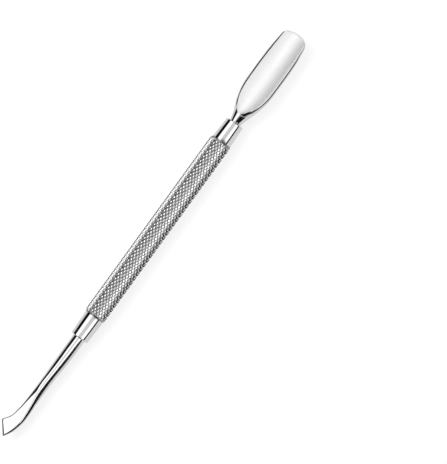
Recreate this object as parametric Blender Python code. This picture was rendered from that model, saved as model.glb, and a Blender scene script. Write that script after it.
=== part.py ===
"""Double-ended cuticle pusher: a knurled hollow grip, two collars, a spoon and a cleaner blade.

The tool lies along Y with its grip on Z = 0, the spoon toward +Y and the scoop facing up.
Lengths in this file are in millimetres and are scaled to metres when each mesh is made.
"""

import math

import bmesh
import bpy

MM = 0.001
TURNED_SIDES = 32  # divisible by 4, so that one facet faces straight down

# Grip tube
GRIP_RADIUS = 3.05
AXIS_HEIGHT = GRIP_RADIUS
GRIP_BLADE_END = -25.11
GRIP_SPOON_END = 30.03
GRIP_CHAMFER_DEPTH = 0.35
GRIP_CHAMFER_LENGTH = 0.8
BORE_RADIUS = 2.11

# Collars and the brazing gap between every two pieces
BRAZE_GAP = 0.03
COLLAR_ROOT_RADIUS = 2.68
COLLAR_END_RADIUS = 2.46
COLLAR_ROUNDING = 0.3
SPOON_COLLAR_END = 35.92
BLADE_COLLAR_END = -31.79
SPIGOT_LENGTH = 8.0
SPIGOT_CHAMFER = 0.3

# Spoon
SPOON_TANG_RADIUS = 1.38
SPOON_TANG_END = 23.0
NECK_RADIUS = 1.52
NECK_START = SPOON_COLLAR_END + BRAZE_GAP
SPOON_TIP = 63.5
TIP_CURVE_START = 60.6
TIP_SQUARENESS = 2.35
TIP_EDGE_THICKNESS = 0.35
SCOOP_CURVE = 2.2
LOWER_SQUARENESS = 3.0

# Blade
BLADE_TANG_RADIUS = 1.5
BLADE_TANG_END = -18.8
SHANK_RADIUS = 1.7
SHANK_START = BLADE_COLLAR_END - BRAZE_GAP
BLADE_SIDES = 32
BLADE_TIP = -63.5
SIDE_BEVEL_ANGLE = math.radians(50)  # from straight up, toward the right
GROUND_EDGE_SHARPNESS = 16

# The neck flares as a cone. One row per station: y, half width, half height.
NECK_STATIONS = [
    (NECK_START, NECK_RADIUS, NECK_RADIUS),
    (36.60, 1.70, 1.64),
    (37.30, 1.90, 1.77),
    (37.90, 2.09, 1.88),
]
# One row per station: y, half width, rim half width, height and squareness of the upper side,
# height of the widest line, bottom, scoop floor. Heights are measured from the tool's axis.
SCOOP_STATIONS = [
    (38.35, 2.22, 0.00, 1.95, 2.0, 0.00, -1.96, 1.95),
    (38.42, 2.24, 0.40, 1.96, 2.0, 0.00, -1.97, 1.89),
    (38.55, 2.28, 0.63, 1.98, 2.0, 0.00, -1.98, 1.82),
    (38.76, 2.35, 0.86, 2.00, 2.0, 0.00, -1.98, 1.72),
    (39.06, 2.44, 1.20, 2.03, 2.1, 0.00, -1.97, 1.59),
    (39.40, 2.55, 1.50, 2.05, 2.2, 0.00, -1.94, 1.46),
    (40.05, 2.77, 1.99, 2.05, 2.4, 0.02, -1.86, 1.27),
    (41.10, 3.12, 2.54, 1.95, 2.9, 0.05, -1.68, 1.10),
    (42.20, 3.49, 3.02, 1.80, 3.6, 0.10, -1.45, 0.98),
    (43.30, 3.80, 3.38, 1.62, 4.4, 0.16, -1.22, 0.90),
    (44.30, 4.03, 3.66, 1.48, 5.0, 0.20, -1.02, 0.80),
    (45.40, 4.19, 3.85, 1.38, 5.6, 0.25, -0.84, 0.77),
    (46.50, 4.27, 3.95, 1.28, 6.0, 0.28, -0.70, 0.71),
    (49.00, 4.32, 4.01, 1.22, 6.0, 0.30, -0.50, 0.66),
    (52.50, 4.33, 4.02, 1.15, 6.0, 0.30, -0.36, 0.60),
    (55.50, 4.27, 3.96, 1.10, 6.0, 0.30, -0.24, 0.57),
    (58.00, 4.15, 3.85, 1.05, 6.0, 0.30, -0.10, 0.54),
]
TIP_STATION = (TIP_CURVE_START, 3.87, 3.56, 0.75, 6.0, 0.45, 0.05, 0.46)
TIP_STEPS = [0.3, 0.55, 0.75, 0.9, 1.0]
UPPER_STEPS = 5
LOWER_STEPS = 9
SCOOP_STEPS = 14

# One row per station: left y and x, right y and x, height of the middle, of the top flat and of
# the bottom, and how far in from the right side the top flat stops.
BLADE_STATIONS = [
    (SHANK_START, -1.70, SHANK_START, 1.70, 0.00, 2.40, -1.70, 1.49),
    (-34.0, -1.71, -34.0, 1.68, 0.00, 2.40, -1.70, 1.62),
    (-36.6, -1.71, -36.6, 1.66, 0.00, 2.40, -1.69, 1.65),
    (-39.7, -1.68, -39.7, 1.55, 0.00, 2.10, -1.67, 1.42),
    (-42.7, -1.64, -42.7, 1.38, 0.00, 1.85, -1.63, 1.18),
    (-45.8, -1.62, -45.8, 1.23, 0.00, 1.66, -1.58, 1.06),
    (-48.8, -1.62, -48.8, 1.18, 0.02, 1.54, -1.50, 1.04),
    (-50.9, -1.63, -50.9, 1.18, 0.15, 1.28, -1.42, 0.90),
    (-52.4, -1.65, -52.4, 1.20, 0.22, 1.08, -1.34, 0.78),
    (-53.9, -1.74, -53.9, 1.27, 0.20, 0.94, -1.22, 0.76),
    (-55.2, -1.90, -55.4, 1.30, 0.14, 0.82, -1.10, 0.70),
    (-57.3, -2.30, -57.5, 1.26, 0.08, 0.70, -0.90, 0.62),
    (-58.4, -2.77, -59.2, 0.94, 0.07, 0.62, -0.70, 0.54),
    (-59.1, -3.27, -60.7, 0.52, 0.10, 0.58, -0.55, 0.47),
    (-59.6, -3.64, -62.0, -0.04, 0.15, 0.55, -0.42, 0.38),
    (-59.84, -3.77, -63.12, -0.75, 0.19, 0.50, -0.30, 0.27),
    (-60.1, -3.95, BLADE_TIP, -1.08, 0.18, 0.26, 0.06, 0.07),
]


def clear_scene():
    for obj in list(bpy.data.objects):
        bpy.data.objects.remove(obj, do_unlink=True)


def steel(name, grey, roughness):
    material = bpy.data.materials.new(name)
    material.use_nodes = True
    shader = material.node_tree.nodes["Principled BSDF"]
    shader.inputs["Base Color"].default_value = (grey, grey, grey * 0.99, 1.0)
    shader.inputs["Metallic"].default_value = 1.0
    shader.inputs["Roughness"].default_value = roughness
    return material


def add_piece(name, points, faces, material):
    """A mesh object from points in millimetres about the tool's axis, raised to rest on Z = 0."""
    mesh = bpy.data.meshes.new(name)
    lifted = [(x * MM, y * MM, (z + AXIS_HEIGHT) * MM) for x, y, z in points]
    mesh.from_pydata(lifted, [], faces)
    shaped = bmesh.new()
    shaped.from_mesh(mesh)
    bmesh.ops.remove_doubles(shaped, verts=shaped.verts, dist=1e-6)
    bmesh.ops.dissolve_degenerate(shaped, edges=shaped.edges, dist=1e-7)
    bmesh.ops.recalc_face_normals(shaped, faces=shaped.faces)
    shaped.to_mesh(mesh)
    shaped.free()
    mesh.materials.append(material)
    mesh.shade_smooth()
    mesh.set_sharp_from_angle(angle=math.radians(30))
    piece = bpy.data.objects.new(name, mesh)
    bpy.context.scene.collection.objects.link(piece)
    return piece


def ring_faces(first, second, count):
    """The quads between two rings of points, given the index where each ring starts."""
    faces = []
    for k in range(count):
        following = (k + 1) % count
        faces.append((first + k, first + following, second + following, second + k))
    return faces


def turned_ring(radius, y, sides):
    """A ring round the axis whose lowest facet is level and lies at exactly this radius."""
    corner_radius = radius / math.cos(math.pi / sides)
    points = []
    for k in range(sides):
        angle = 2 * math.pi * (k + 0.5) / sides
        points.append((corner_radius * math.sin(angle), y, -corner_radius * math.cos(angle)))
    return points


def turned(name, profile, material):
    """A hollow turned piece. The profile is a closed loop of (radius, y) pairs."""
    points = []
    faces = []
    for radius, y in profile:
        points.extend(turned_ring(radius, y, TURNED_SIDES))
    for i in range(len(profile)):
        following = (i + 1) % len(profile)
        faces.extend(ring_faces(i * TURNED_SIDES, following * TURNED_SIDES, TURNED_SIDES))
    return add_piece(name, points, faces, material)


def make_handle_tube(material):
    end_radius = GRIP_RADIUS - GRIP_CHAMFER_DEPTH
    profile = [
        (BORE_RADIUS, GRIP_BLADE_END),
        (end_radius, GRIP_BLADE_END),
        (GRIP_RADIUS, GRIP_BLADE_END + GRIP_CHAMFER_LENGTH),
        (GRIP_RADIUS, GRIP_SPOON_END - GRIP_CHAMFER_LENGTH),
        (end_radius, GRIP_SPOON_END),
        (BORE_RADIUS, GRIP_SPOON_END),
    ]
    return turned("handle_tube", profile, material)


def make_ferrule(name, grip_end, collar_end, bore, material):
    """A conical collar outside the tube with a spigot that runs into it."""
    outward = 1 if collar_end > grip_end else -1
    root = grip_end + outward * BRAZE_GAP
    spigot_radius = BORE_RADIUS - BRAZE_GAP
    spigot_end = grip_end - outward * SPIGOT_LENGTH
    profile = [
        (bore, spigot_end),
        (spigot_radius - SPIGOT_CHAMFER, spigot_end),
        (spigot_radius, spigot_end + outward * SPIGOT_CHAMFER),
        (spigot_radius, root),
        (COLLAR_ROOT_RADIUS, root),
    ]
    centre_radius = COLLAR_END_RADIUS - COLLAR_ROUNDING
    centre_y = collar_end - outward * COLLAR_ROUNDING
    for step in range(5):
        angle = math.radians(90 * step / 4)
        radius = centre_radius + COLLAR_ROUNDING * math.cos(angle)
        profile.append((radius, centre_y + outward * COLLAR_ROUNDING * math.sin(angle)))
    profile.append((bore, collar_end))
    return turned(name, profile, material)


def upper_height(station, part):
    """Height of the upper outside surface at this part of the half width."""
    height, squareness, widest_z = station[3:6]
    return widest_z + height * (1 - min(part, 1.0) ** squareness) ** (1 / squareness)


def scoop_height(station, part):
    """Height of the scoop's surface at this part of the rim's half width."""
    rim_z = upper_height(station, station[2] / station[1])
    floor_z = station[7]
    return floor_z + (rim_z - floor_z) * min(abs(part), 1.0) ** SCOOP_CURVE


def spoon_outer(station, edge):
    """Points from the right rim round the bottom to the left rim, as (part of half width, z).

    Edge is 0 on the body of the spoon and 1 at its tip, where the wall thins to an edge.
    """
    half, rim_half = station[1:3]
    widest_z, bottom_z = station[5:7]
    rim_angle = math.asin(rim_half / half)
    right = []
    for k in range(UPPER_STEPS + 1):
        part = math.sin(rim_angle + (math.pi / 2 - rim_angle) * k / UPPER_STEPS)
        right.append((part, upper_height(station, part)))
    power = 2 / min(LOWER_SQUARENESS, 2.0 + rim_half / 3)
    for k in range(1, LOWER_STEPS + 1):
        angle = math.pi / 2 * k / LOWER_STEPS
        part = math.cos(angle) ** power if k < LOWER_STEPS else 0.0
        z = widest_z + (bottom_z - widest_z) * math.sin(angle) ** power
        right.append((part, z))
    if edge > 0:
        thinned = []
        for part, z in right:
            thin_z = scoop_height(station, part * half / rim_half) - TIP_EDGE_THICKNESS
            thin_z = max(thin_z, z) if z > widest_z else thin_z
            thinned.append((part, z + (thin_z - z) * edge))
        right = thinned
    left = [(-part, z) for part, z in reversed(right[:-1])]
    return right + left


def spoon_scoop(station):
    """Points from the left rim across the scoop to the right rim, without the rims."""
    half, rim_half = station[1:3]
    points = []
    for k in range(1, SCOOP_STEPS):
        part = -math.cos(math.pi * k / SCOOP_STEPS)
        points.append((part * rim_half / half, scoop_height(station, part)))
    return points


def tip_y(part):
    """The rounded, slightly square end of the spoon, over part of its half width."""
    bulge = (1 - min(abs(part), 1.0) ** TIP_SQUARENESS) ** (1 / TIP_SQUARENESS)
    return TIP_CURVE_START + (SPOON_TIP - TIP_CURVE_START) * bulge


def blend(first, second, amount):
    return tuple(a + (b - a) * amount for a, b in zip(first, second))


def make_spoon_pusher(material):
    rows = []
    tang_chamfer = 0.3
    tang = [
        (SPOON_TANG_END, SPOON_TANG_RADIUS - tang_chamfer, SPOON_TANG_RADIUS - tang_chamfer),
        (SPOON_TANG_END + tang_chamfer, SPOON_TANG_RADIUS, SPOON_TANG_RADIUS),
        (NECK_START, SPOON_TANG_RADIUS, SPOON_TANG_RADIUS),
    ]
    for y, half, height in tang + NECK_STATIONS:
        station = (y, half, 0.0, height, 2.0, 0.0, -height)
        rows.append([(part * half, y, z) for part, z in spoon_outer(station, 0)])
    scoop_rows = []
    for station in SCOOP_STATIONS:
        y, half = station[:2]
        rows.append([(part * half, y, z) for part, z in spoon_outer(station, 0)])
        scoop_rows.append([(part * half, y, z) for part, z in spoon_scoop(station)])
    last = SCOOP_STATIONS[-1]
    for amount in TIP_STEPS:
        station = blend(last, TIP_STATION, amount)
        half = station[1]
        for strip, found in ((rows, spoon_outer(station, amount**2)), (scoop_rows, spoon_scoop(station))):
            strip.append(
                [
                    (part * half, last[0] + (tip_y(part) - last[0]) * amount, z)
                    for part, z in found
                ]
            )
    points = []
    faces = []
    wide = len(rows[0])
    for row in rows:
        points.extend(row)
    # The neck is closed over the top; from the first scoop row on, the two rims part.
    first_scoop = len(tang) + len(NECK_STATIONS)
    for i in range(len(rows) - 1):
        for k in range(wide - 1):
            a = i * wide + k
            faces.append((a, a + 1, a + 1 + wide, a + wide))
    inner_start = len(points)
    narrow = SCOOP_STEPS - 1
    for row in scoop_rows:
        points.extend(row)

    def scoop_index(i, k):
        """Index of a scoop point; the first and last are the rims of the outer rows."""
        if k == 0:
            return (first_scoop + i) * wide + wide - 1
        if k == narrow + 1:
            return (first_scoop + i) * wide
        return inner_start + i * narrow + k - 1

    for i in range(len(scoop_rows) - 1):
        for k in range(narrow + 1):
            faces.append(
                (
                    scoop_index(i, k),
                    scoop_index(i, k + 1),
                    scoop_index(i + 1, k + 1),
                    scoop_index(i + 1, k),
                )
            )
    faces.append(tuple(range(wide - 1)))
    end_row = len(scoop_rows) - 1
    tip_outer = (len(rows) - 1) * wide
    tip_loop = [tip_outer + k for k in range(wide)]
    tip_loop += [scoop_index(end_row, k) for k in range(1, narrow + 1)]
    faces.extend(tip_faces(points, tip_loop, wide, narrow))
    return add_piece("spoon_pusher", points, faces, material)


def tip_faces(points, loop, wide, narrow):
    """Closes the thin end of the spoon with a strip between its lower and upper edges."""
    lower = loop[:wide]
    upper = [loop[0]] + loop[wide:][::-1] + [loop[wide - 1]]
    faces = []
    i = 0
    j = 0
    while i < len(lower) - 1 or j < len(upper) - 1:
        go_lower = j == len(upper) - 1
        if i < len(lower) - 1 and not go_lower:
            go_lower = points[lower[i + 1]][0] >= points[upper[j + 1]][0]
        if go_lower:
            faces.append((lower[i], lower[i + 1], upper[j]))
            i += 1
        else:
            faces.append((lower[i], upper[j + 1], upper[j]))
            j += 1
    return [face for face in faces if len(set(face)) == 3]


def blade_ring(station):
    """A section of the blade: a round bar with a flat ground on top and a bevel on the right."""
    left_y, left_x, right_y, right_x, middle_z, flat_z, bottom_z, shoulder = station
    half = (right_x - left_x) / 2
    up = flat_z - middle_z
    bar_up = SHANK_RADIUS - middle_z
    down = middle_z - bottom_z
    across_bevel = math.sin(SIDE_BEVEL_ANGLE)
    up_bevel = math.cos(SIDE_BEVEL_ANGLE)
    bevel_distance = (half - shoulder) * across_bevel + up * up_bevel
    section = []
    for k in range(BLADE_SIDES):
        angle = 2 * math.pi * k / BLADE_SIDES
        side = -half * math.cos(angle)
        rise = math.sin(angle)
        rise *= min(up, bar_up) if rise > 0 else down
        bar = math.hypot(side / half, rise / (bar_up if rise > 0 else down))
        flat = max(rise / up, 0.0)
        bevel = max((side * across_bevel + rise * up_bevel) / bevel_distance, 0.0)
        cuts = sum(cut**GROUND_EDGE_SHARPNESS for cut in (bar, flat, bevel))
        reach = cuts ** (-1 / GROUND_EDGE_SHARPNESS)
        section.append((side * reach, middle_z + rise * reach))
    left_most = min(side for side, z in section)
    right_most = max(side for side, z in section)
    points = []
    for side, z in section:
        across = (side - left_most) / (right_most - left_most)
        x = left_x + (right_x - left_x) * across
        y = left_y + (right_y - left_y) * across
        points.append((x, y, z))
    return points


def round_ring(y, radius):
    """A round section, with its points in the same order as those of a blade section."""
    angles = [2 * math.pi * k / BLADE_SIDES for k in range(BLADE_SIDES)]
    return [(-radius * math.cos(angle), y, radius * math.sin(angle)) for angle in angles]


def make_blade_cleaner(material):
    tang_chamfer = 0.3
    tang = [
        (BLADE_TANG_END, BLADE_TANG_RADIUS - tang_chamfer),
        (BLADE_TANG_END - tang_chamfer, BLADE_TANG_RADIUS),
        (SHANK_START, BLADE_TANG_RADIUS),
    ]
    rings = [round_ring(y, radius) for y, radius in tang]
    rings += [blade_ring(station) for station in BLADE_STATIONS]
    points = []
    faces = []
    for ring in rings:
        points.extend(ring)
    for i in range(len(rings) - 1):
        faces.extend(ring_faces(i * BLADE_SIDES, (i + 1) * BLADE_SIDES, BLADE_SIDES))
    faces.append(tuple(range(BLADE_SIDES)))
    last = (len(rings) - 1) * BLADE_SIDES
    faces.append(tuple(range(last, last + BLADE_SIDES)))
    return add_piece("blade_cleaner", points, faces, material)


clear_scene()
knurled_steel = steel("knurled_steel", 0.62, 0.4)
polished_steel = steel("polished_steel", 0.75, 0.12)
satin_steel = steel("satin_steel", 0.72, 0.25)
ground_steel = steel("ground_steel", 0.75, 0.15)
make_handle_tube(knurled_steel)
make_ferrule(
    "spoon_ferrule",
    GRIP_SPOON_END,
    SPOON_COLLAR_END,
    SPOON_TANG_RADIUS + BRAZE_GAP,
    polished_steel,
)
make_ferrule(
    "blade_ferrule",
    GRIP_BLADE_END,
    BLADE_COLLAR_END,
    BLADE_TANG_RADIUS + BRAZE_GAP,
    polished_steel,
)
make_spoon_pusher(satin_steel)
make_blade_cleaner(ground_steel)
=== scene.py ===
# Double-ended cuticle pusher: its visible pieces and the studio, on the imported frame
import math

import bpy
from mathutils import Matrix, Vector


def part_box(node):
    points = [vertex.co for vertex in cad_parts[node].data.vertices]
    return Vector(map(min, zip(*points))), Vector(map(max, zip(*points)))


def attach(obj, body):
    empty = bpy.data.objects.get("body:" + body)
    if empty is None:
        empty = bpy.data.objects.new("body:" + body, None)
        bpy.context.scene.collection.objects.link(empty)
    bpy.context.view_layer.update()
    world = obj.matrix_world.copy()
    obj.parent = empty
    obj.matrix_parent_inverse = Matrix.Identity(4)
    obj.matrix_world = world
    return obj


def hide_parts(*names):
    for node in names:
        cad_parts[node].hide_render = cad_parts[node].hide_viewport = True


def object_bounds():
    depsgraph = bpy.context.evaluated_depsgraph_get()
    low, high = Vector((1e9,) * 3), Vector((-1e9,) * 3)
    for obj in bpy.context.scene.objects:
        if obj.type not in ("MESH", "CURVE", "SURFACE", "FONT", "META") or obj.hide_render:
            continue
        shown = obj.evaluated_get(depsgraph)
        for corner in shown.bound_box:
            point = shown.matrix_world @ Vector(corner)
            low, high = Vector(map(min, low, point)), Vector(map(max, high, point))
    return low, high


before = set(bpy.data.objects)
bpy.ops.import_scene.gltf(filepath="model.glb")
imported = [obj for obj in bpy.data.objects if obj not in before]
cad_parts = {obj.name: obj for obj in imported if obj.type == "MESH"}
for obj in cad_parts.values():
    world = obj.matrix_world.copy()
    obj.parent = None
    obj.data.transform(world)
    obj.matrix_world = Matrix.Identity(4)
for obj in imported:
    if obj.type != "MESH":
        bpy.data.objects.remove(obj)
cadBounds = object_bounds()
mm = 0.001
mergeDistance = 0.0005 * mm
axisHeight = (cadBounds[0].z + cadBounds[1].z) / 2  # of the tool's axis, in metres


def hexColour(text):
    # sRGB hex to the linear values that Blender's sockets take
    values = [int(text[i : i + 2], 16) / 255 for i in (1, 3, 5)]
    linear = [
        v / 12.92 if v <= 0.04045 else ((v + 0.055) / 1.055) ** 2.4 for v in values
    ]
    return (*linear, 1.0)


def addNode(tree, kind, settings=None, inputs=None, links=None):
    # adds one node: its properties, its socket values, and what feeds its sockets
    node = tree.nodes.new(kind)
    for key, value in (settings or {}).items():
        setattr(node, key, value)
    for key, value in (inputs or {}).items():
        node.inputs[key].default_value = value
    for key, source in (links or {}).items():
        tree.links.new(source, node.inputs[key])
    return node


def setRamp(node, stops):
    # stops are (position, grey)
    ramp = node.color_ramp
    ramp.elements.remove(ramp.elements[1])
    ramp.elements[0].position = stops[0][0]
    for position, _ in stops[1:]:
        ramp.elements.new(position)
    for element, (_, grey) in zip(ramp.elements, stops):
        element.color = (grey, grey, grey, 1.0)


def deselectAll():
    if bpy.context.mode != "OBJECT":
        bpy.ops.object.mode_set(mode="OBJECT")
    bpy.ops.object.select_all(action="DESELECT")


def startEditing(piece):
    deselectAll()
    piece.select_set(True)
    bpy.context.view_layer.objects.active = piece
    bpy.ops.object.mode_set(mode="EDIT")


def applyModifiers(piece):
    deselectAll()
    piece.select_set(True)
    bpy.context.view_layer.objects.active = piece
    for modifier in list(piece.modifiers):
        bpy.ops.object.modifier_apply(modifier=modifier.name)


def applyPlace(piece):
    # the finished piece's object sits at the origin, unturned and unscaled
    deselectAll()
    piece.select_set(True)
    bpy.context.view_layer.objects.active = piece
    bpy.ops.object.transform_apply(location=True, rotation=True, scale=True)


def cleanUp(piece, smoothAngle):
    startEditing(piece)
    bpy.ops.mesh.select_all(action="SELECT")
    bpy.ops.mesh.remove_doubles(threshold=mergeDistance)
    bpy.ops.mesh.normals_make_consistent(inside=False)
    bpy.ops.object.mode_set(mode="OBJECT")
    bpy.ops.object.shade_smooth_by_angle(angle=math.radians(smoothAngle))


def placePiece(piece, cadNode):
    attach(piece, "root")
    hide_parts(cadNode)


def selectEdges(piece, wanted):
    # selects the boundary edges whose two ends both pass the test
    bpy.ops.object.mode_set(mode="OBJECT")
    mesh = piece.data
    uses = {}
    for polygon in mesh.polygons:
        for key in polygon.edge_keys:
            uses[key] = uses.get(key, 0) + 1
    for item in (mesh.vertices, mesh.edges, mesh.polygons):
        item.foreach_set("select", [False] * len(item))
    for edge in mesh.edges:
        ends = [mesh.vertices[i].co for i in edge.vertices]
        edge.select = uses.get(edge.key, 0) < 2 and all(wanted(co) for co in ends)
    bpy.ops.object.mode_set(mode="EDIT")
    bpy.ops.mesh.select_mode(type="EDGE")


def loftedPiece(name, points, faces, finishes):
    # points are in mm from the tool's axis
    placed = [(x * mm, y * mm, axisHeight + z * mm) for x, y, z in points]
    mesh = bpy.data.meshes.new(name)
    mesh.from_pydata(placed, [], faces)
    for finish in finishes:
        mesh.materials.append(finish)
    piece = bpy.data.objects.new(name, mesh)
    bpy.context.scene.collection.objects.link(piece)
    return piece


def smoothRows(rows, steps):
    # rows on one smooth curve through the given rows, all columns at once
    found = []
    last = len(rows) - 1
    for i in range(last):
        before, after = rows[max(i - 1, 0)], rows[min(i + 2, last)]
        for k in range(steps):
            t = k / steps
            row = []
            for p, q, r, s in zip(before, rows[i], rows[i + 1], after):
                square = 2 * p - 5 * q + 4 * r - s
                cube = 3 * q - p - 3 * r + s
                row.append(0.5 * (2 * q + (r - p) * t + square * t**2 + cube * t**3))
            found.append(tuple(row))
    found.append(rows[-1])
    return found


def newMaterial(name):
    material = bpy.data.materials.new(name)
    material.use_nodes = True
    tree = material.node_tree
    shader = tree.nodes["Principled BSDF"]
    shader.inputs["Metallic"].default_value = 1.0
    place = addNode(tree, "ShaderNodeTexCoord")
    return material, tree, shader, place.outputs["Object"]


def steelColour(tree, shader, place, dark, light, patch):
    # slow, faint variation of the grey, as polishing and handling leave; patch is in mm
    cloud = addNode(
        tree,
        "ShaderNodeTexNoise",
        inputs={"Scale": 1 / (patch * mm), "Detail": 3.0},
        links={"Vector": place},
    )
    mix = addNode(
        tree,
        "ShaderNodeMix",
        {"data_type": "RGBA"},
        {"A": hexColour(dark), "B": hexColour(light)},
        {"Factor": cloud.outputs["Fac"]},
    )
    tree.links.new(mix.outputs["Result"], shader.inputs["Base Color"])


def grainLines(tree, place, spacing, detail):
    # fine parallel marks: spacing is theirs along each axis, in mm
    stretched = addNode(
        tree,
        "ShaderNodeMapping",
        inputs={"Scale": tuple(1 / (v * mm) for v in spacing)},
        links={"Vector": place},
    )
    return addNode(
        tree,
        "ShaderNodeTexNoise",
        inputs={"Scale": 1.0, "Detail": detail, "Roughness": 0.6},
        links={"Vector": stretched.outputs["Vector"]},
    )


def linesToSurface(tree, shader, lines, depth, roughness):
    # the marks shake the gloss and, a little, the surface itself; depth is in mm
    low, high = roughness
    bump = addNode(
        tree,
        "ShaderNodeBump",
        inputs={"Strength": 1.0, "Distance": depth * mm},
        links={"Height": lines.outputs["Fac"]},
    )
    rough = addNode(
        tree,
        "ShaderNodeMapRange",
        inputs={"From Min": 0.3, "From Max": 0.7, "To Min": low, "To Max": high},
        links={"Value": lines.outputs["Fac"]},
    )
    tree.links.new(bump.outputs["Normal"], shader.inputs["Normal"])
    tree.links.new(rough.outputs["Result"], shader.inputs["Roughness"])


def mirrorPolishedStainless():
    # turned steel buffed on a wheel: a near mirror with faint marks running round it
    material, tree, shader, place = newMaterial("mirrorPolishedStainless")
    steelColour(tree, shader, place, dark="#C6C6C6", light="#D0D0D0", patch=2.5)
    lines = grainLines(tree, place, spacing=(3.0, 0.12, 3.0), detail=2.0)
    linesToSurface(tree, shader, lines, depth=0.00006, roughness=(0.05, 0.10))
    return material


def satinWithPaintedSheen():
    # the scoop is ground lengthwise with a soft wheel, which gives its broad soft gleam;
    # its grey is painted paler than the outside steel, a painted sheen
    material, tree, shader, place = newMaterial("satinWithPaintedSheen")
    # painted sheen: this steel is painted paler than the same steel on the outside
    steelColour(tree, shader, place, dark="#ECECEC", light="#F4F4F4", patch=3.0)
    lines = grainLines(tree, place, spacing=(0.10, 2.2, 0.10), detail=3.0)
    linesToSurface(tree, shader, lines, depth=0.0004, roughness=(0.50, 0.60))
    return material


def groundStainless():
    # the blade and its shank: polished, with faint marks of grinding across them
    material, tree, shader, place = newMaterial("groundStainless")
    steelColour(tree, shader, place, dark="#C6C6C6", light="#D0D0D0", patch=2.5)
    lines = grainLines(tree, place, spacing=(1.6, 0.10, 1.6), detail=2.0)
    linesToSurface(tree, shader, lines, depth=0.0001, roughness=(0.07, 0.14))
    return material


def stonedWithPaintedShade():
    # the sharpened end is rubbed on a fine stone: dull, with short scratches; its grey is
    # painted darker than the steel, a painted shade on the edge
    material, tree, shader, place = newMaterial("stonedWithPaintedShade")
    # painted shade: the edge's steel is painted dark grey, darker than any bare steel
    steelColour(tree, shader, place, dark="#6E6E6E", light="#828282", patch=1.0)
    lines = grainLines(tree, place, spacing=(0.05, 0.05, 0.4), detail=3.0)
    linesToSurface(tree, shader, lines, depth=0.0004, roughness=(0.32, 0.46))
    return material


def knurledStainless(grooveRadius, crestRadius):
    # rolled diamonds: painted shade darkens the grooves and a painted highlight lightens
    # the crests, by radius, with a faint noise of patches over both
    material, tree, shader, place = newMaterial("knurledStainless")
    centred = addNode(
        tree,
        "ShaderNodeVectorMath",
        {"operation": "MULTIPLY_ADD"},
        {1: (1.0, 0.0, 1.0), 2: (0.0, 0.0, -axisHeight)},
        {0: place},
    )
    radius = addNode(
        tree,
        "ShaderNodeVectorMath",
        {"operation": "LENGTH"},
        links={0: centred.outputs["Vector"]},
    )
    height = addNode(
        tree,
        "ShaderNodeMapRange",
        inputs={"From Min": grooveRadius, "From Max": crestRadius},
        links={"Value": radius.outputs["Value"]},
    )
    grime = addNode(
        tree,
        "ShaderNodeTexNoise",
        inputs={"Scale": 1 / (1.1 * mm), "Detail": 4.0},
        links={"Vector": place},
    )
    # painted shade and highlight: dark in the grooves, light on the crests, plus the
    # noise's patches
    grooveShadeAndGrime = addNode(
        tree,
        "ShaderNodeMath",
        {"operation": "MULTIPLY_ADD"},
        {1: 0.35},
        {0: grime.outputs["Fac"], 2: height.outputs["Result"]},
    )
    shade = addNode(
        tree,
        "ShaderNodeMapRange",
        inputs={"From Min": 0.1, "From Max": 0.9},
        links={"Value": grooveShadeAndGrime.outputs["Value"]},
    )
    # painted shade in the grooves (#808080) and painted highlight on the crests (#F6F6F6)
    mix = addNode(
        tree,
        "ShaderNodeMix",
        {"data_type": "RGBA"},
        {"A": hexColour("#808080"), "B": hexColour("#F6F6F6")},
        {"Factor": shade.outputs["Result"]},
    )
    rough = addNode(
        tree,
        "ShaderNodeMapRange",
        inputs={"To Min": 0.32, "To Max": 0.17},
        links={"Value": shade.outputs["Result"]},
    )
    tree.links.new(mix.outputs["Result"], shader.inputs["Base Color"])
    tree.links.new(rough.outputs["Result"], shader.inputs["Roughness"])
    return material


grip = {  # sizes in mm
    "starts": 22,  # diamonds round the tube
    "pitch": 1.42,  # of the diamonds along the tube
    "grooveDepth": 0.24,
    "flankWidth": 0.22,
    "crestRounding": 0.03,
    "crestRise": 0.015,
    "chamferDepth": 0.35,
    "chamferLength": 0.8,
    "chamferCuts": 4,
    "boreRadius": 2.11,
    "smoothAngle": 22,  # degrees
}


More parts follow.
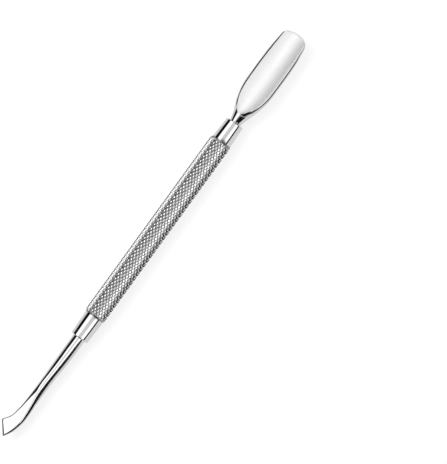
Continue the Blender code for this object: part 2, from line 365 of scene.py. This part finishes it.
def makeGrip():
    low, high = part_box("handle_tube")
    crestRadius = (high.z - low.z) / 2
    grooveRadius = crestRadius - grip["grooveDepth"] * mm
    columnWidth = 2 * math.pi * crestRadius / grip["starts"]
    pitch = grip["pitch"] * mm
    rowCount = math.ceil((high.y - low.y) / pitch) + 2
    deselectAll()
    bpy.ops.mesh.primitive_circle_add(vertices=4, radius=1.0, fill_type="NGON")
    piece = bpy.context.object
    piece.name = "knurledGrip"
    bpy.ops.object.mode_set(mode="EDIT")
    bpy.ops.transform.resize(value=(columnWidth / 2, pitch / 2, 1.0))
    firstRise = (grip["grooveDepth"] - grip["crestRise"]) * mm
    bpy.ops.mesh.inset(thickness=grip["flankWidth"] * mm, depth=firstRise)
    bpy.ops.mesh.inset(
        thickness=grip["crestRounding"] * mm, depth=grip["crestRise"] * mm
    )
    bpy.ops.mesh.select_all(action="SELECT")
    between = (columnWidth / 2, pitch / 2, 0.0)  # the second diamond fills the gaps
    bpy.ops.mesh.duplicate_move(TRANSFORM_OT_translate={"value": between})
    bpy.ops.object.mode_set(mode="OBJECT")
    for name, count, offset in (
        ("round", grip["starts"], (columnWidth, 0.0, 0.0)),
        ("along", rowCount, (0.0, pitch, 0.0)),
    ):
        array = piece.modifiers.new(name, "ARRAY")
        array.count = count
        array.use_relative_offset = False
        array.use_constant_offset = True
        array.constant_offset_displace = offset
        array.use_merge_vertices = True
        array.merge_threshold = 0.001 * mm
    applyModifiers(piece)
    startY = low.y - 0.75 * pitch  # a little outside the tube, to be cut off
    # the flat sheet of diamonds is rolled round the axis
    for vertex in piece.data.vertices:
        angle = 2 * math.pi * vertex.co.x / columnWidth / grip["starts"]
        radius = grooveRadius + vertex.co.z
        z = axisHeight + radius * math.cos(angle)
        vertex.co = Vector((radius * math.sin(angle), startY + vertex.co.y, z))
    chamfer = grip["chamferLength"] * mm
    startEditing(piece)
    for end, outward in ((low.y, -1), (high.y, 1)):
        for cut in range(grip["chamferCuts"] + 1):
            inset = cut / grip["chamferCuts"]
            bpy.ops.mesh.select_all(action="SELECT")
            bpy.ops.mesh.bisect(
                plane_co=(0.0, end - outward * inset * chamfer, 0.0),
                plane_no=(0.0, outward, 0.0),
                clear_outer=inset == 0.0,
                threshold=0.0001 * mm,
            )
    bpy.ops.object.mode_set(mode="OBJECT")
    # the ends are turned down to a cone
    for vertex in piece.data.vertices:
        fromEnd = min(vertex.co.y - low.y, high.y - vertex.co.y)
        away = Vector((vertex.co.x, 0.0, vertex.co.z - axisHeight))
        turnedDown = grip["chamferDepth"] * mm * max(0.0, 1 - fromEnd / chamfer)
        limit = crestRadius - turnedDown
        if away.length > limit:
            away = away.normalized() * limit
            vertex.co = Vector((away.x, vertex.co.y, axisHeight + away.z))
    cleanUp(piece, grip["smoothAngle"])
    boreShare = grip["boreRadius"] * mm / (crestRadius - grip["chamferDepth"] * mm)
    for end in (low.y, high.y):
        selectEdges(piece, lambda co: abs(co.y - end) < 0.001 * mm)
        bpy.ops.mesh.extrude_edges_move()
        bpy.ops.transform.resize(
            value=(boreShare, 1.0, boreShare), center_override=(0.0, end, axisHeight)
        )
    selectEdges(piece, lambda co: True)
    bpy.ops.mesh.bridge_edge_loops()
    cleanUp(piece, grip["smoothAngle"])
    piece.data.materials.append(knurledStainless(grooveRadius, crestRadius))
    placePiece(piece, "handle_tube")
    print("grip tube done,", len(piece.data.polygons), "faces")


collar = {  # sizes in mm
    "sides": 96,
    "rootRadius": 2.68,  # where it meets the grip
    "endRadius": 2.46,
    "rounding": 0.3,
    "roundingSteps": 8,
    "rootRounding": 0.08,
    "spigotRadius": 2.08,
    "spigotLength": 8.0,
    "gap": 0.03,  # for the braze
    "smoothAngle": 40,  # degrees
}


def turnPiece(name, steps, sides):
    # a circle is extruded and resized ring by ring, then closed on itself
    firstRadius, firstY = steps[0]
    deselectAll()
    bpy.ops.mesh.primitive_circle_add(
        vertices=sides,
        radius=firstRadius * mm,
        location=(0.0, firstY, axisHeight),
        rotation=(math.pi / 2, 0.0, 0.0),
    )
    piece = bpy.context.object
    piece.name = name
    bpy.ops.object.mode_set(mode="EDIT")
    bpy.ops.mesh.select_all(action="SELECT")
    radius, y = firstRadius, firstY
    for nextRadius, nextY in steps[1:]:
        move = (0.0, nextY - y, 0.0)
        bpy.ops.mesh.extrude_edges_move(TRANSFORM_OT_translate={"value": move})
        share = nextRadius / radius
        bpy.ops.transform.resize(
            value=(share, 1.0, share), center_override=(0.0, nextY, axisHeight)
        )
        radius, y = nextRadius, nextY
    bpy.ops.object.mode_set(mode="OBJECT")
    applyPlace(piece)
    selectEdges(piece, lambda co: True)
    bpy.ops.mesh.bridge_edge_loops()
    bpy.ops.object.mode_set(mode="OBJECT")
    cleanUp(piece, collar["smoothAngle"])
    return piece


def makeCollar(name, cadNode, gripEnd, boreRadius, finish):
    low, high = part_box(cadNode)
    outward = 1 if low.y > 0 else -1
    outerEnd = high.y if outward > 0 else low.y
    root = gripEnd + outward * collar["gap"] * mm
    spigotEnd = gripEnd - outward * collar["spigotLength"] * mm
    small = collar["rootRounding"]
    steps = [
        (boreRadius, spigotEnd),
        (collar["spigotRadius"], spigotEnd),
        (collar["spigotRadius"], root),
        (collar["rootRadius"] - small, root),
        (collar["rootRadius"] - small * 0.3, root + outward * small * 0.3 * mm),
        (collar["rootRadius"], root + outward * small * mm),
    ]
    rounding = collar["rounding"]
    for k in range(collar["roundingSteps"] + 1):
        angle = math.pi / 2 * k / collar["roundingSteps"]
        steps.append(
            (
                collar["endRadius"] - rounding * (1 - math.cos(angle)),
                outerEnd - outward * rounding * (1 - math.sin(angle)) * mm,
            )
        )
    steps.append((boreRadius, outerEnd))
    piece = turnPiece(name, steps, collar["sides"])
    piece.data.materials.append(finish)
    placePiece(piece, cadNode)
    print(name, "done")


# extruding and bevelling a primitive doesn't give the scoop's form, so it is lofted
spoon = {  # sizes in mm
    "tangRadius": 1.38,
    "tangEnd": 23.0,
    "tipStart": 60.6,  # where its corners begin to turn in
    "tip": 63.5,
    "tipSquareness": 2.35,
    "edgeThickness": 0.32,
    "tipChamfer": 0.2,
    "tipChamferShare": 0.045,  # of the way from the body to the tip
    "scoopCurve": 1.8,
    "lowerSquareness": 3.0,
    "landSlope": 22,  # degrees; the top of the rim falls outward
    "bevelWidth": 0.35,
    "bevelSlope": 50,
    "wallInset": 0.02,
    "easing": 0.03,  # of the corners of the rim
    "neckRows": 4,  # of mesh between two stations
    "bodyRows": 6,
    "tipRows": 14,
    "lowerColumns": 28,
    "scoopColumns": 48,
    "smoothAngle": 30,  # degrees
}
# y, half width, half height of the flaring neck, in mm from the tool's axis
neckStations = [
    (35.95, 1.52, 1.52),
    (36.6, 1.70, 1.64),
    (37.3, 1.90, 1.77),
    (37.9, 2.09, 1.88),
]
# y, half width, rim half width, rim height, share of flat land on the rim, height of
# the widest line, bottom, floor of the scoop
scoopStations = [
    (38.35, 2.22, 0.00, 1.95, 0.00, 0.00, -1.96, 1.95),
    (38.42, 2.24, 0.40, 1.94, 0.08, 0.00, -1.97, 1.90),
    (38.55, 2.28, 0.63, 1.92, 0.20, 0.00, -1.98, 1.84),
    (38.76, 2.35, 0.86, 1.90, 0.34, 0.00, -1.98, 1.76),
    (39.06, 2.44, 1.18, 1.87, 0.50, 0.00, -1.97, 1.66),
    (39.40, 2.55, 1.45, 1.84, 0.68, 0.02, -1.94, 1.57),
    (40.05, 2.77, 1.88, 1.80, 0.90, 0.06, -1.86, 1.45),
    (41.10, 3.12, 2.38, 1.75, 1.00, 0.14, -1.68, 1.32),
    (42.20, 3.49, 2.80, 1.71, 1.00, 0.24, -1.45, 1.19),
    (43.30, 3.80, 3.08, 1.68, 1.00, 0.34, -1.22, 1.10),
    (44.30, 4.03, 3.26, 1.66, 1.00, 0.42, -1.02, 1.04),
    (45.40, 4.19, 3.38, 1.64, 1.00, 0.47, -0.84, 1.00),
    (46.50, 4.27, 3.46, 1.63, 1.00, 0.50, -0.70, 0.97),
    (49.00, 4.32, 3.51, 1.60, 1.00, 0.50, -0.50, 0.93),
    (52.50, 4.33, 3.52, 1.56, 1.00, 0.48, -0.36, 0.89),
    (55.50, 4.27, 3.46, 1.52, 1.00, 0.46, -0.24, 0.86),
    (58.00, 4.15, 3.35, 1.48, 1.00, 0.45, -0.10, 0.83),
]
tipStation = (spoon["tipStart"], 3.87, 3.14, 1.40, 1.00, 0.80, 0.35, 0.79)


def scoopHeight(station, part):
    rimZ, floorZ = station[3], station[7]
    return floorZ + (rimZ - floorZ) * min(abs(part), 1.0) ** spoon["scoopCurve"]


def upperSide(station):
    # from the rim out and down to the widest line: an ellipse on the neck, a land and a
    # bevel on the body; each corner between them is eased by two points, a little off it
    half, rimHalf, rimZ, land, widestZ = station[1:6]
    rimAngle = math.asin(min(rimHalf / half, 1.0))
    crown = (rimZ - widestZ) / math.cos(rimAngle)
    wall = half - spoon["wallInset"]
    landEnd = wall - spoon["bevelWidth"]
    soft = spoon["easing"]
    landFall = (landEnd - rimHalf) * math.tan(math.radians(spoon["landSlope"]))
    bevelFall = spoon["bevelWidth"] * math.tan(math.radians(spoon["bevelSlope"]))
    ground = [
        (rimHalf, rimZ),
        (rimHalf + soft, rimZ - soft * 0.05),
        (landEnd - soft, rimZ - landFall + soft * 0.5),
        (landEnd + soft, rimZ - landFall - soft * 0.9),
        (wall - soft, rimZ - landFall - bevelFall + soft * 1.2),
        (wall + soft * 0.4, rimZ - landFall - bevelFall - soft * 1.2),
        (half, widestZ),
    ]
    found = []
    for k, (groundX, groundZ) in enumerate(ground):
        angle = rimAngle + (math.pi / 2 - rimAngle) * k / (len(ground) - 1)
        roundX, roundZ = half * math.sin(angle), widestZ + crown * math.cos(angle)
        x = roundX + (groundX - roundX) * land
        z = roundZ + (groundZ - roundZ) * land
        found.append((x, z))
    return found


def outerSection(station, edge):
    # x and z from the right rim round the bottom to the left rim
    # edge runs from 0 to 1 as the end thins toward the tip
    half, rimHalf = station[1:3]
    widestZ, bottomZ = station[5:7]
    right = upperSide(station)
    power = 2 / min(spoon["lowerSquareness"], 2.0 + rimHalf / 3)
    steps = spoon["lowerColumns"]
    for k in range(1, steps + 1):
        angle = math.pi / 2 * k / steps
        x = half * math.cos(angle) ** power if k < steps else 0.0
        right.append((x, widestZ + (bottomZ - widestZ) * math.sin(angle) ** power))
    if edge > 0:
        thinned = []
        for x, z in right:
            thinZ = scoopHeight(station, x / rimHalf) - spoon["edgeThickness"]
            thinZ -= (station[3] - spoon["edgeThickness"] - widestZ) * (x / half) ** 2
            thinned.append((x, z if z > widestZ else z + (thinZ - z) * edge))
        right = thinned
    return right + [(-x, z) for x, z in reversed(right[:-1])]


def scoopSection(station):
    # x and z from the left rim across the scoop to the right rim, without the rims
    steps = spoon["scoopColumns"]
    parts = [-math.cos(math.pi * k / steps) for k in range(1, steps)]
    return [(part * station[2], scoopHeight(station, part)) for part in parts]


def tipY(part):
    power = spoon["tipSquareness"]
    bulge = (1 - min(abs(part), 1.0) ** power) ** (1 / power)
    return spoon["tipStart"] + (spoon["tip"] - spoon["tipStart"]) * bulge


def makeSpoon(outsideFinish, insideFinishWithSheen):
    outer = []
    inner = []
    radius = spoon["tangRadius"]
    necks = [(y, radius, radius) for y in (spoon["tangEnd"], neckStations[0][0])]
    bodyStart = scoopStations[0][:2] + (scoopStations[0][3],)
    necks += smoothRows(neckStations + [bodyStart], spoon["neckRows"])[:-1]
    for y, half, height in necks:
        station = (y, half, 0.0, height, 0.0, 0.0, -height)
        outer.append([(x, y, z) for x, z in outerSection(station, 0)])
    firstScoop = len(outer)
    for station in smoothRows(scoopStations, spoon["bodyRows"]):
        y = station[0]
        outer.append([(x, y, z) for x, z in outerSection(station, 0)])
        inner.append([(x, y, z) for x, z in scoopSection(station)])
    last = scoopStations[-1]
    for k in range(1, spoon["tipRows"] + 1):
        amount = math.sin(math.pi / 2 * k / spoon["tipRows"])
        station = tuple(a + (b - a) * amount for a, b in zip(last, tipStation))
        nearTip = max(0.0, 1 - (1 - amount) / spoon["tipChamferShare"])
        drop = spoon["tipChamfer"] * nearTip
        rimZ, widestZ = station[3], station[5]
        outside = outerSection(station, amount**2)
        for strip, section in ((outer, outside), (inner, scoopSection(station))):
            row = []
            for x, z in section:
                y = last[0] + (tipY(x / station[1]) - last[0]) * amount
                # on the outside the chamfer dies out down the rim
                high = max(z - widestZ, 0.0) / (rimZ - widestZ)
                share = 1.0 if strip is inner else high
                row.append((x, y, z - drop * share))
            strip.append(row)
    points = [point for row in outer for point in row]
    wide = len(outer[0])
    faces = []
    for i in range(len(outer) - 1):
        for k in range(wide - 1):
            a = i * wide + k
            faces.append((a, a + 1, a + 1 + wide, a + wide))
    outerFaces = len(faces)
    innerStart = len(points)
    narrow = len(inner[0])
    points += [point for row in inner for point in row]

    def innerIndex(i, k):
        # the scoop's first and last points are the rims of the outside
        if k == 0:
            return (firstScoop + i) * wide + wide - 1
        if k == narrow + 1:
            return (firstScoop + i) * wide
        return innerStart + i * narrow + k - 1

    for i in range(len(inner) - 1):
        for k in range(narrow + 1):
            near = (innerIndex(i, k), innerIndex(i, k + 1))
            far = (innerIndex(i + 1, k + 1), innerIndex(i + 1, k))
            faces.append(near + far)
    innerFaces = len(faces)
    faces.append(tuple(range(wide - 1)))  # the end of the tang
    piece = loftedPiece("scoopedPusher", points, faces, (outsideFinish, insideFinishWithSheen))
    for polygon in piece.data.polygons[outerFaces:innerFaces]:
        polygon.material_index = 1
    cleanUp(piece, spoon["smoothAngle"])
    selectEdges(piece, lambda co: co.y > scoopStations[-1][0] * mm)
    bpy.ops.mesh.fill()  # the thin end of the tip
    cleanUp(piece, spoon["smoothAngle"])
    placePiece(piece, "spoon_pusher")
    print("spoon done,", len(piece.data.polygons), "faces")


blade = {  # sizes in mm, angles in degrees
    "sides": 112,
    "rowsBetween": 7,  # of mesh between two stations
    "shankRadius": 1.70,
    "tangRadius": 1.5,
    "tangEnd": -18.8,
    "bevelAngle": 50,  # of the right side, from straight up
    "leftBevelAngle": 24,
    "leftBevelWidth": 0.16,  # at its narrow end
    "leftBevelStart": -57.0,  # where that end is
    "leftBevelGrowth": 0.044,  # mm wider per mm toward the handle
    "roundFrom": 0.90,  # the flat's height over the bar's, from where the bevel fades
    "roundOver": 0.06,
    "edgeSharpness": 14,
    "smoothAngle": 30,
}
# left y and x, right y and x, height of the middle, of the top flat and of the bottom,
# and how far in from the right side the flat stops
bladeStations = [
    (-31.82, -1.70, -31.82, 1.70, 0.00, 2.40, -1.70, 1.49),
    (-34.0, -1.705, -34.0, 1.68, 0.00, 2.40, -1.70, 1.62),
    (-36.6, -1.71, -36.6, 1.66, 0.00, 2.40, -1.69, 1.65),
    (-39.7, -1.68, -39.7, 1.55, 0.00, 2.10, -1.67, 1.42),
    (-42.7, -1.64, -42.7, 1.38, 0.00, 1.85, -1.63, 1.18),
    (-45.8, -1.62, -45.8, 1.23, 0.00, 1.66, -1.58, 1.06),
    (-48.8, -1.62, -48.8, 1.18, 0.02, 1.54, -1.50, 1.04),
    (-50.9, -1.63, -50.9, 1.18, 0.15, 1.28, -1.42, 0.90),
    (-52.4, -1.65, -52.4, 1.20, 0.22, 1.08, -1.34, 0.78),
    (-53.9, -1.74, -53.9, 1.27, 0.20, 0.94, -1.22, 0.76),
    (-55.2, -1.90, -55.4, 1.30, 0.14, 0.82, -1.10, 0.70),
    (-57.3, -2.30, -57.5, 1.26, 0.08, 0.70, -0.90, 0.62),
    (-58.4, -2.77, -59.2, 0.94, 0.07, 0.62, -0.70, 0.54),
    (-59.1, -3.27, -60.7, 0.52, 0.10, 0.58, -0.55, 0.47),
    (-59.6, -3.64, -62.0, -0.04, 0.15, 0.55, -0.42, 0.38),
    (-59.84, -3.77, -63.12, -0.75, 0.19, 0.50, -0.30, 0.27),
]
bladeEdge = (-60.1, -3.95, -63.5, -1.08, 0.18, 0.26, 0.06, 0.07)


def bladeSection(station):
    # a round bar with a flat ground on top and a bevel down its right side
    leftY, leftX, rightY, rightX, middleZ, flatZ, bottomZ, shoulder = station
    half = (rightX - leftX) / 2
    up = flatZ - middleZ
    barUp = blade["shankRadius"] - middleZ
    down = middleZ - bottomZ
    bevelAngle = math.radians(blade["bevelAngle"])
    sine, cosine = math.sin(bevelAngle), math.cos(bevelAngle)
    bevelReach = (half - shoulder) * sine + up * cosine
    leftAngle = math.radians(blade["leftBevelAngle"])
    leftSine, leftCosine = math.sin(leftAngle), math.cos(leftAngle)
    corner = half * math.sqrt(max(1 - (up / barUp) ** 2, 0.0)) if up < barUp else 0.0
    growth = blade["leftBevelGrowth"] * max(leftY - blade["leftBevelStart"], 0.0)
    bevelTop = corner - blade["leftBevelWidth"] - growth
    leftReach = bevelTop * leftSine + up * leftCosine
    # where the flat is still narrow, the round bar turns down softly and needs no bevel
    roundness = (up / barUp - blade["roundFrom"]) / blade["roundOver"]
    roundness = min(max(roundness, 0.0), 1.0)
    leftReach += max(barUp - leftReach, 0.0) * roundness
    sharpness = blade["edgeSharpness"]
    section = []
    for k in range(blade["sides"]):
        angle = 2 * math.pi * k / blade["sides"]
        side, rise = -half * math.cos(angle), math.sin(angle)
        barRise = barUp if rise > 0 else down
        rise *= min(up, barUp) if rise > 0 else down
        bar = math.hypot(side / half, rise / barRise)
        flat = max(rise / up, 0.0)
        bevel = max((side * sine + rise * cosine) / bevelReach, 0.0)
        leftBevel = max((-side * leftSine + rise * leftCosine) / leftReach, 0.0)
        cuts = (bar, flat, bevel, leftBevel)
        reach = sum(cut**sharpness for cut in cuts) ** (-1 / sharpness)
        section.append((side * reach, middleZ + rise * reach))
    leftMost = min(side for side, z in section)
    rightMost = max(side for side, z in section)
    found = []
    for side, z in section:
        across = (side - leftMost) / (rightMost - leftMost)
        x = leftX + (rightX - leftX) * across
        found.append((x, leftY + (rightY - leftY) * across, z))
    return found


def makeBlade(finish, edgeFinishWithShade):
    rows = []
    radius, sides = blade["tangRadius"], blade["sides"]
    for y in (blade["tangEnd"], bladeStations[0][0]):
        angles = [2 * math.pi * k / sides for k in range(sides)]
        rows.append([(-radius * math.cos(a), y, radius * math.sin(a)) for a in angles])
    stations = smoothRows(bladeStations, blade["rowsBetween"])
    rows += [bladeSection(station) for station in stations]
    rows.append(bladeSection(bladeEdge))
    points = [point for row in rows for point in row]
    faces = []
    for i in range(len(rows) - 1):
        for k in range(sides):
            a, b = i * sides + k, i * sides + (k + 1) % sides
            faces.append((a, b, b + sides, a + sides))
    faces.append(tuple(range(sides)))  # the end of the tang
    faces.append(tuple(range(len(points) - sides, len(points))))  # the cutting edge
    piece = loftedPiece("skewedBlade", points, faces, (finish, edgeFinishWithShade))
    edgeStart, edgeEnd = (len(rows) - 2) * sides, (len(rows) - 1) * sides
    for polygon in piece.data.polygons[edgeStart:edgeEnd]:
        polygon.material_index = 1
    cleanUp(piece, blade["smoothAngle"])
    placePiece(piece, "blade_cleaner")
    print("blade done,", len(piece.data.polygons), "faces")


studio = {
    "cameraTilt": 18.0,  # from straight down, toward the tool's right side
    "toolLean": 35.94,  # from upright in the picture, spoon end to the right
    "pictureHeight": 118.27,  # mm of the scene over the picture's long side
    "aimAlong": 11.63,  # mm from the middle of the tool toward the spoon
    "aimAcross": 13.955,  # mm to the right of the tool's axis, as the camera sees it
    "cameraDistance": 1.2,  # metres
    "floorSize": 5.0,  # metres
    "floorGlow": 0.77,
}


def makeCamera():
    tilt, lean = math.radians(studio["cameraTilt"]), math.radians(studio["toolLean"])
    along = Vector((0.0, 1.0, 0.0))
    across = Vector((math.cos(tilt), 0.0, -math.sin(tilt)))
    back = Vector((math.sin(tilt), 0.0, math.cos(tilt)))
    right = math.sin(lean) * along + math.cos(lean) * across
    up = math.cos(lean) * along - math.sin(lean) * across
    aim = Vector((0.0, studio["aimAlong"] * mm, axisHeight))
    aim += studio["aimAcross"] * mm * across
    data = bpy.data.cameras.new("studioCamera")
    data.sensor_width = 36.0
    seen = studio["pictureHeight"] * mm
    data.lens = data.sensor_width * studio["cameraDistance"] / seen
    data.clip_start = 0.01
    data.clip_end = 20.0
    camera = bpy.data.objects.new("studioCamera", data)
    stand = Matrix.Translation(aim + back * studio["cameraDistance"])
    camera.matrix_world = stand @ Matrix((right, up, back)).transposed().to_4x4()
    bpy.context.scene.collection.objects.link(camera)
    bpy.context.scene.camera = camera


def makeFloor():
    # a matt white acrylic sheet, lit from behind so that it stays white round the tool
    deselectAll()
    bpy.ops.mesh.primitive_plane_add(size=studio["floorSize"], location=(0.0, 0.0, 0.0))
    floor = bpy.context.object
    floor.name = "studioFloor"
    material = bpy.data.materials.new("mattWhiteAcrylic")
    material.use_nodes = True
    tree = material.node_tree
    shader = tree.nodes["Principled BSDF"]
    shader.inputs["Base Color"].default_value = hexColour("#8C8C8C")
    shader.inputs["Roughness"].default_value = 0.9
    shader.inputs["Specular IOR Level"].default_value = 0.0
    shader.inputs["Emission Color"].default_value = hexColour("#FFFFFF")
    shader.inputs["Emission Strength"].default_value = studio["floorGlow"]
    floor.data.materials.append(material)


def multiplied(tree, first, second):
    node = addNode(
        tree,
        "ShaderNodeMix",
        {"data_type": "RGBA", "blend_type": "MULTIPLY"},
        {"Factor": 1.0},
        {"A": first, "B": second},
    )
    return node.outputs["Result"]


light = {
    "peak": 1.9,  # brightness of the tent's two white sides
    "gap": 0.005,  # of the dark gaps, as a share of the peak
    "lowBand": 0.9,
    "overhead": 0.98,
    "background": "#F4F4F4",  # behind the floor, as the camera sees it
    "keyEnergy": 0.9,
    "keySpread": 25,  # degrees
    "keyTilt": -35,  # degrees, from straight overhead
}


def makeLight():
    # a light tent: white either side of the camera, with dark gaps above the floor
    world = bpy.data.worlds.new("lightTent")
    bpy.context.scene.world = world
    world.use_nodes = True
    tree = world.node_tree
    background = tree.nodes["Background"]
    place = addNode(tree, "ShaderNodeTexCoord")
    parts = addNode(
        tree, "ShaderNodeSeparateXYZ", links={"Vector": place.outputs["Generated"]}
    )
    angle = addNode(
        tree,
        "ShaderNodeMath",
        {"operation": "ARCTAN2"},
        links={0: parts.outputs["X"], 1: parts.outputs["Z"]},
    )
    across = addNode(
        tree,
        "ShaderNodeMapRange",
        inputs={"From Min": -math.pi, "From Max": math.pi},
        links={"Value": angle.outputs["Value"]},
    )
    tent = addNode(
        tree, "ShaderNodeValToRGB", links={"Fac": across.outputs["Result"]}
    )

    def at(degrees):
        # the ramp's position for an angle from straight up, toward the tool's right
        return (degrees + 180) / 360

    peak, gap = light["peak"], light["gap"]
    lowBand, overhead = light["lowBand"] / peak, light["overhead"] / peak
    setRamp(
        tent,
        [
            (at(-95), lowBand),
            (at(-82), lowBand),
            (at(-78), gap),
            (at(-42), gap),
            (at(-38), 1.0),
            (at(-7), 1.0),
            (at(0), overhead),
            (at(36), overhead),
            (at(43), 1.0),
            (at(69), 1.0),
            (at(73), gap),
            (at(94), gap),
        ],
    )
    along = addNode(
        tree,
        "ShaderNodeMapRange",
        inputs={"From Min": -1.0, "From Max": 1.0},
        links={"Value": parts.outputs["Y"]},
    )
    # the tent darkens toward both ends of the tool
    ends = addNode(tree, "ShaderNodeValToRGB", links={"Fac": along.outputs["Result"]})
    setRamp(ends, [(0.06, 0.1), (0.22, 0.8), (0.36, 1.0), (0.86, 1.0), (0.97, 0.3)])
    product = multiplied(tree, tent.outputs["Color"], ends.outputs["Color"])
    # black flags on the right; each hides the tent where both its ramps are dark
    for sideStops, endStops in (
        (
            [(at(6), 1.0), (at(14), 0.01), (at(58), 0.01), (at(64), 1.0)],
            [(0.325, 0.01), (0.365, 1.0)],
        ),
        (
            [(at(40), 1.0), (at(44), 0.01)],
            [(0.2, 1.0), (0.25, 0.01), (0.325, 0.01), (0.365, 1.0)],
        ),
        ([(at(8), 1.0), (at(40), 0.02)], [(0.64, 1.0), (0.7, 0.02)]),
    ):
        side = addNode(
            tree, "ShaderNodeValToRGB", links={"Fac": across.outputs["Result"]}
        )
        setRamp(side, sideStops)
        end = addNode(
            tree, "ShaderNodeValToRGB", links={"Fac": along.outputs["Result"]}
        )
        setRamp(end, endStops)
        flag = addNode(
            tree,
            "ShaderNodeMix",
            {"data_type": "RGBA", "blend_type": "LIGHTEN"},
            {"Factor": 1.0},
            {"A": side.outputs["Color"], "B": end.outputs["Color"]},
        )
        product = multiplied(tree, product, flag.outputs["Result"])
    ray = addNode(tree, "ShaderNodeLightPath")
    seen = addNode(
        tree,
        "ShaderNodeMix",
        {"data_type": "RGBA"},
        {"B": hexColour(light["background"])},
        {"Factor": ray.outputs["Is Camera Ray"], "A": product},
    )
    strength = addNode(
        tree,
        "ShaderNodeMapRange",
        inputs={"To Min": peak, "To Max": 1.0},
        links={"Value": ray.outputs["Is Camera Ray"]},
    )
    tree.links.new(seen.outputs["Result"], background.inputs["Color"])
    tree.links.new(strength.outputs["Result"], background.inputs["Strength"])
    sun = bpy.data.lights.new("softKey", "SUN")
    sun.energy = light["keyEnergy"]
    sun.angle = math.radians(light["keySpread"])
    key = bpy.data.objects.new("softKey", sun)
    key.rotation_euler = (0.0, math.radians(light["keyTilt"]), 0.0)
    key.visible_glossy = False  # the polished steel mirrors the tent alone
    bpy.context.scene.collection.objects.link(key)
    bpy.context.scene.view_settings.view_transform = "Standard"


def makeCollars(finish):
    gripLow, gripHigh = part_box("handle_tube")
    spoonBore = spoon["tangRadius"] + collar["gap"]
    bladeBore = blade["tangRadius"] + collar["gap"]
    makeCollar("spoonCollar", "spoon_ferrule", gripHigh.y, spoonBore, finish)
    makeCollar("bladeCollar", "blade_ferrule", gripLow.y, bladeBore, finish)


makeCamera()
makeFloor()
makeLight()
print("camera, floor and light done")
polished = mirrorPolishedStainless()
makeGrip()
makeCollars(polished)
makeSpoon(polished, satinWithPaintedSheen())
makeBlade(groundStainless(), stonedWithPaintedShade())
